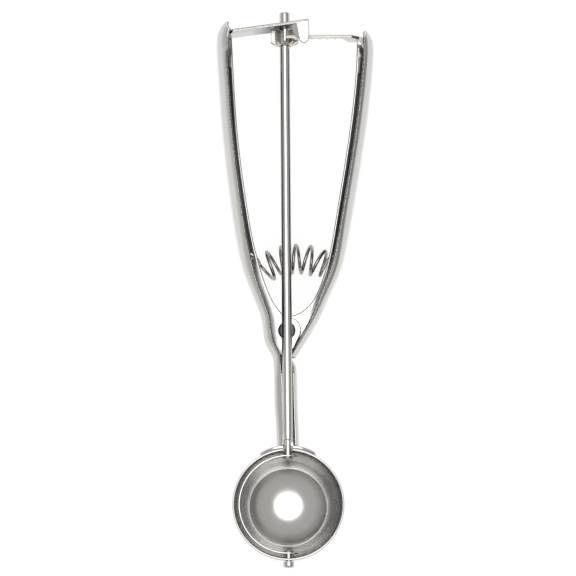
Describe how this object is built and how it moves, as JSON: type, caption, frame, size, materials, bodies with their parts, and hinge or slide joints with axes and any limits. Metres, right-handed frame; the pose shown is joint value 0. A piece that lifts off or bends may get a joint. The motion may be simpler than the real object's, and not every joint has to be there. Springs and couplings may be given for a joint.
{
  "type": "cookie scoop",
  "caption": "Squeeze-handle steel cookie scoop: the right handle's rack turns a pinion and rod that sweep a thin scraper round a half-round bowl.",
  "frame": {"origin": "middle of the scoop's outline, level with the underside of its bowl", "axes": "+Y from the bowl to the handle tops along the rod, +Z out of the open bowl, +X to the moving handle"},
  "size_m": [0.061, 0.2158, 0.0301],
  "materials": {
    "polished_steel": "polished",
    "bowl_steel": "polished",
    "rod_steel": "polished",
    "gear_steel": "satin",
    "spring_steel": "satin"
  },
  "bodies": {
    "frame": {"bowl": "bowl_steel", "bowl_saddle": "polished_steel", "fixed_handle": "polished_steel", "bearing_arm": "polished_steel", "pivot_rivet": "polished_steel", "return_spring": "spring_steel"},
    "lever": {"lever_handle": "polished_steel", "rack": "gear_steel"},
    "rotor": {"rod": "rod_steel", "pinion": "gear_steel", "scraper": "rod_steel", "bottom_pin": "rod_steel"}
  },
  "joints": [
    {"name": "lever_squeeze", "type": "hinge", "parent": "frame", "child": "lever", "pos_m": [-0.004, -0.01555, 0.0115], "axis": [0, 0, 1], "range_deg": [0, 6.5], "stiffness_Nm_per_rad": 3, "springref_deg": -11.46, "deforming": ["return_spring"]},
    {"name": "rod_turn", "type": "hinge", "parent": "frame", "child": "rotor", "pos_m": [-0.004, -0.08355, 0.0204], "axis": [0, 1, 0], "range_deg": [-155, 0]}
  ],
  "couplings": [
    {"joint": "rod_turn", "follows": "lever_squeeze", "ratio": -23.726}
  ]
}
